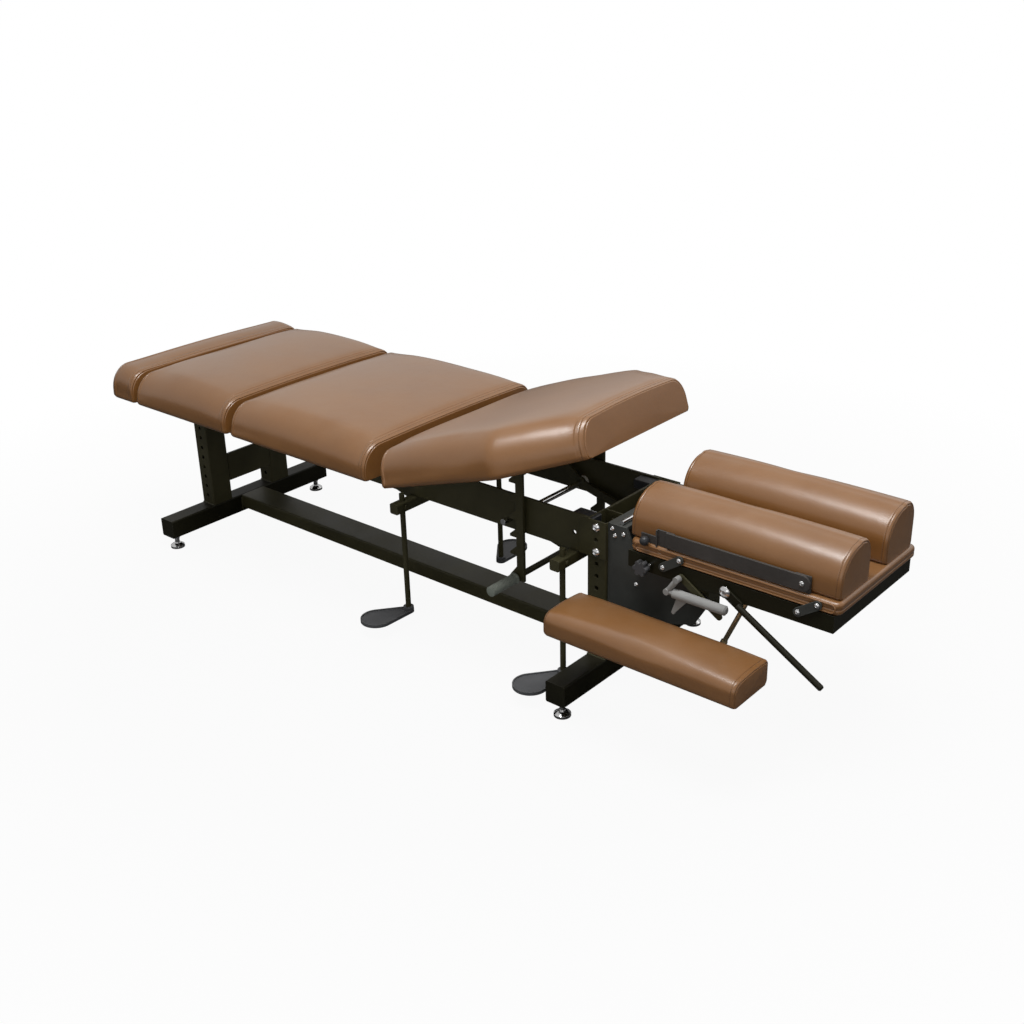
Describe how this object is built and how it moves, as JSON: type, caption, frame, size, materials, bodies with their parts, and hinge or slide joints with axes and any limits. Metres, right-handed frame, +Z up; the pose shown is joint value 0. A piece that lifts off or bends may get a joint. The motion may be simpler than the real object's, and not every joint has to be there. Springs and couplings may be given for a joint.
{
  "type": "chiropractic table",
  "caption": "Padded treatment table with a propped thoracic section, a split drop head section, foot pedals and armrests on a steel frame.",
  "frame": {"origin": "on the floor under the middle of the table's length and width", "axes": "+X toward the head end, +Y toward the side away from the levers, +Z up"},
  "size_m": [2.094, 0.63, 0.6476],
  "materials": {
    "steel_black": "satin black powder coat",
    "chrome": "bright plated steel",
    "vinyl": "smooth tan upholstery vinyl over foam",
    "ply": "plain plywood board",
    "rubber": "matt grey moulded rubber",
    "pedal_grey": "dark grey textured paint"
  },
  "bodies": {
    "base": {"foot_cross_tube": "steel_black", "head_cross_tube": "steel_black", "spine_tube": "steel_black", "foot_uprights": "steel_black", "head_uprights": "steel_black", "frame_plates": "steel_black", "near_rail": "steel_black", "far_rail": "steel_black", "rail_cross_bars": "steel_black", "frame_bolts": "chrome", "cross_rods": "chrome", "fixed_boards": "ply", "foot_pad_cushion": "vinyl", "leg_cushion": "vinyl", "head_brackets": "steel_black", "head_hinge_shaft": "chrome", "side_arms": "steel_black"},
    "foot_a": {"levelling_foot_a": "chrome"},
    "foot_b": {"levelling_foot_b": "chrome"},
    "foot_c": {"levelling_foot_c": "chrome"},
    "foot_d": {"levelling_foot_d": "chrome"},
    "pelvic_section": {"pelvic_board": "ply", "pelvic_hinge_lugs": "steel_black", "pelvic_cushion": "vinyl"},
    "thoracic_section": {"thoracic_straps": "steel_black", "thoracic_board": "ply", "thoracic_cushion": "vinyl", "prop_pins": "chrome"},
    "prop_set": {"prop_frame": "steel_black", "prop_grips": "rubber"},
    "pelvic_pedal_set": {"pelvic_pedal_frame": "steel_black", "pelvic_pedal_rods": "steel_black", "pelvic_pedals": "pedal_grey"},
    "thoracic_pedal_set": {"thoracic_pedal_frame": "steel_black", "thoracic_pedal_rods": "steel_black", "thoracic_pedals": "pedal_grey"},
    "head_section": {"head_frame": "steel_black", "head_frame_screws": "chrome"},
    "rear_links": {"rear_drop_links": "steel_black"},
    "front_links": {"front_drop_links": "steel_black"},
    "head_top": {"head_board_panel": "vinyl", "head_board_screws": "chrome", "near_head_cushion": "vinyl", "far_head_cushion": "vinyl", "side_bar_tabs": "steel_black"},
    "near_bar": {"near_side_bar": "steel_black"},
    "far_bar": {"far_side_bar": "steel_black"},
    "near_catch": {"near_catch_knob": "rubber"},
    "far_catch": {"far_catch_knob": "rubber"},
    "grip": {"grip_lever": "steel_black", "grip_sleeve": "rubber"},
    "release": {"release_lever": "steel_black"},
    "star": {"star_knob": "rubber"},
    "strut": {"lock_strut": "chrome"},
    "near_clamp": {"near_clamp_knob": "rubber"},
    "far_clamp": {"far_clamp_knob": "rubber"},
    "near_armrest": {"near_armrest_post": "steel_black", "near_armrest_pad": "vinyl"},
    "far_armrest": {"far_armrest_post": "steel_black", "far_armrest_pad": "vinyl"}
  },
  "joints": [
    {"name": "foot_a_turn", "type": "hinge", "parent": "base", "child": "foot_a", "pos_m": [-0.879, -0.255, 0.019], "axis": [0, 0, 1], "continuous": true},
    {"name": "foot_b_turn", "type": "hinge", "parent": "base", "child": "foot_b", "pos_m": [-0.879, 0.255, 0.019], "axis": [0, 0, 1], "continuous": true},
    {"name": "foot_c_turn", "type": "hinge", "parent": "base", "child": "foot_c", "pos_m": [0.481, -0.255, 0.019], "axis": [0, 0, 1], "continuous": true},
    {"name": "foot_d_turn", "type": "hinge", "parent": "base", "child": "foot_d", "pos_m": [0.481, 0.255, 0.019], "axis": [0, 0, 1], "continuous": true},
    {"name": "pelvic_pedals_press", "type": "hinge", "parent": "base", "child": "pelvic_pedal_set", "pos_m": [-0.222, 0, 0.356], "axis": [0, 1, 0], "range_deg": [0, 8]},
    {"name": "pelvic_drop", "type": "hinge", "parent": "base", "child": "pelvic_section", "pos_m": [-0.523, 0, 0.40282], "axis": [0, -1, 0], "range_deg": [0, 1.6]},
    {"name": "thoracic_tilt", "type": "hinge", "parent": "base", "child": "thoracic_section", "pos_m": [0.014, 0, 0.4], "axis": [0, -1, 0], "range_deg": [-17.5, 16.5]},
    {"name": "prop_swing", "type": "hinge", "parent": "thoracic_section", "child": "prop_set", "pos_m": [0.28104, 0, 0.4842], "axis": [0, -1, 0], "range_deg": [-7, 7]},
    {"name": "thoracic_pedals_press", "type": "hinge", "parent": "base", "child": "thoracic_pedal_set", "pos_m": [0.246, 0, 0.356], "axis": [0, 1, 0], "range_deg": [0, 8]},
    {"name": "head_tilt", "type": "hinge", "parent": "base", "child": "head_section", "pos_m": [0.596, 0, 0.366], "axis": [0, -1, 0], "range_deg": [-20, 10]},
    {"name": "strut_swing", "type": "hinge", "parent": "head_section", "child": "strut", "pos_m": [0.854, -0.144, 0.364], "axis": [0, -1, 0], "range_deg": [-6, 11]},
    {"name": "head_drop", "type": "hinge", "parent": "head_section", "child": "rear_links", "pos_m": [0.666, 0, 0.375], "axis": [0, -1, 0], "range_deg": [0, 22]},
    {"name": "front_links_turn", "type": "hinge", "parent": "head_section", "child": "front_links", "pos_m": [0.965, 0, 0.375], "axis": [0, -1, 0], "range_deg": [0, 23]},
    {"name": "head_level", "type": "hinge", "parent": "rear_links", "child": "head_top", "pos_m": [0.704, 0, 0.401], "axis": [0, -1, 0], "range_deg": [-23, 0]},
    {"name": "near_bar_swing", "type": "hinge", "parent": "head_top", "child": "near_bar", "pos_m": [0.967, -0.161, 0.4333], "axis": [0, 1, 0], "range_deg": [0, 75]},
    {"name": "far_bar_swing", "type": "hinge", "parent": "head_top", "child": "far_bar", "pos_m": [0.967, 0.161, 0.4333], "axis": [0, 1, 0], "range_deg": [0, 75]},
    {"name": "near_catch_pull", "type": "slide", "parent": "head_top", "child": "near_catch", "axis": [0, -1, 0], "range_m": [0, 0.002]},
    {"name": "far_catch_pull", "type": "slide", "parent": "head_top", "child": "far_catch", "axis": [0, 1, 0], "range_m": [0, 0.002]},
    {"name": "grip_lever_turn", "type": "hinge", "parent": "head_section", "child": "grip", "pos_m": [0.709, -0.161, 0.366], "axis": [0, 1, 0], "range_deg": [0, 45]},
    {"name": "release_lever_lift", "type": "hinge", "parent": "head_section", "child": "release", "pos_m": [0.809, -0.161, 0.366], "axis": [0, -1, 0], "range_deg": [0, 15]},
    {"name": "star_knob_turn", "type": "hinge", "parent": "head_section", "child": "star", "pos_m": [0.619, -0.161, 0.362], "axis": [0, 1, 0], "continuous": true},
    {"name": "near_clamp_turn", "type": "hinge", "parent": "base", "child": "near_clamp", "pos_m": [0.591, -0.165, 0.18385], "axis": [0, 1, 0], "continuous": true},
    {"name": "far_clamp_turn", "type": "hinge", "parent": "base", "child": "far_clamp", "pos_m": [0.591, 0.165, 0.18385], "axis": [0, 1, 0], "continuous": true},
    {"name": "near_armrest_rise", "type": "slide", "parent": "base", "child": "near_armrest", "axis": [0, 0, 1], "range_m": [0, 0.05]},
    {"name": "far_armrest_rise", "type": "slide", "parent": "base", "child": "far_armrest", "axis": [0, 0, 1], "range_m": [0, 0.05]}
  ],
  "couplings": [
    {"joint": "pelvic_drop", "follows": "pelvic_pedals_press", "ratio": 0.2},
    {"joint": "prop_swing", "follows": "thoracic_tilt", "ratio": -0.36},
    {"joint": "strut_swing", "follows": "head_tilt", "ratio": -0.46},
    {"joint": "front_links_turn", "follows": "head_drop", "ratio": 1},
    {"joint": "head_level", "follows": "head_drop", "ratio": -1}
  ]
}
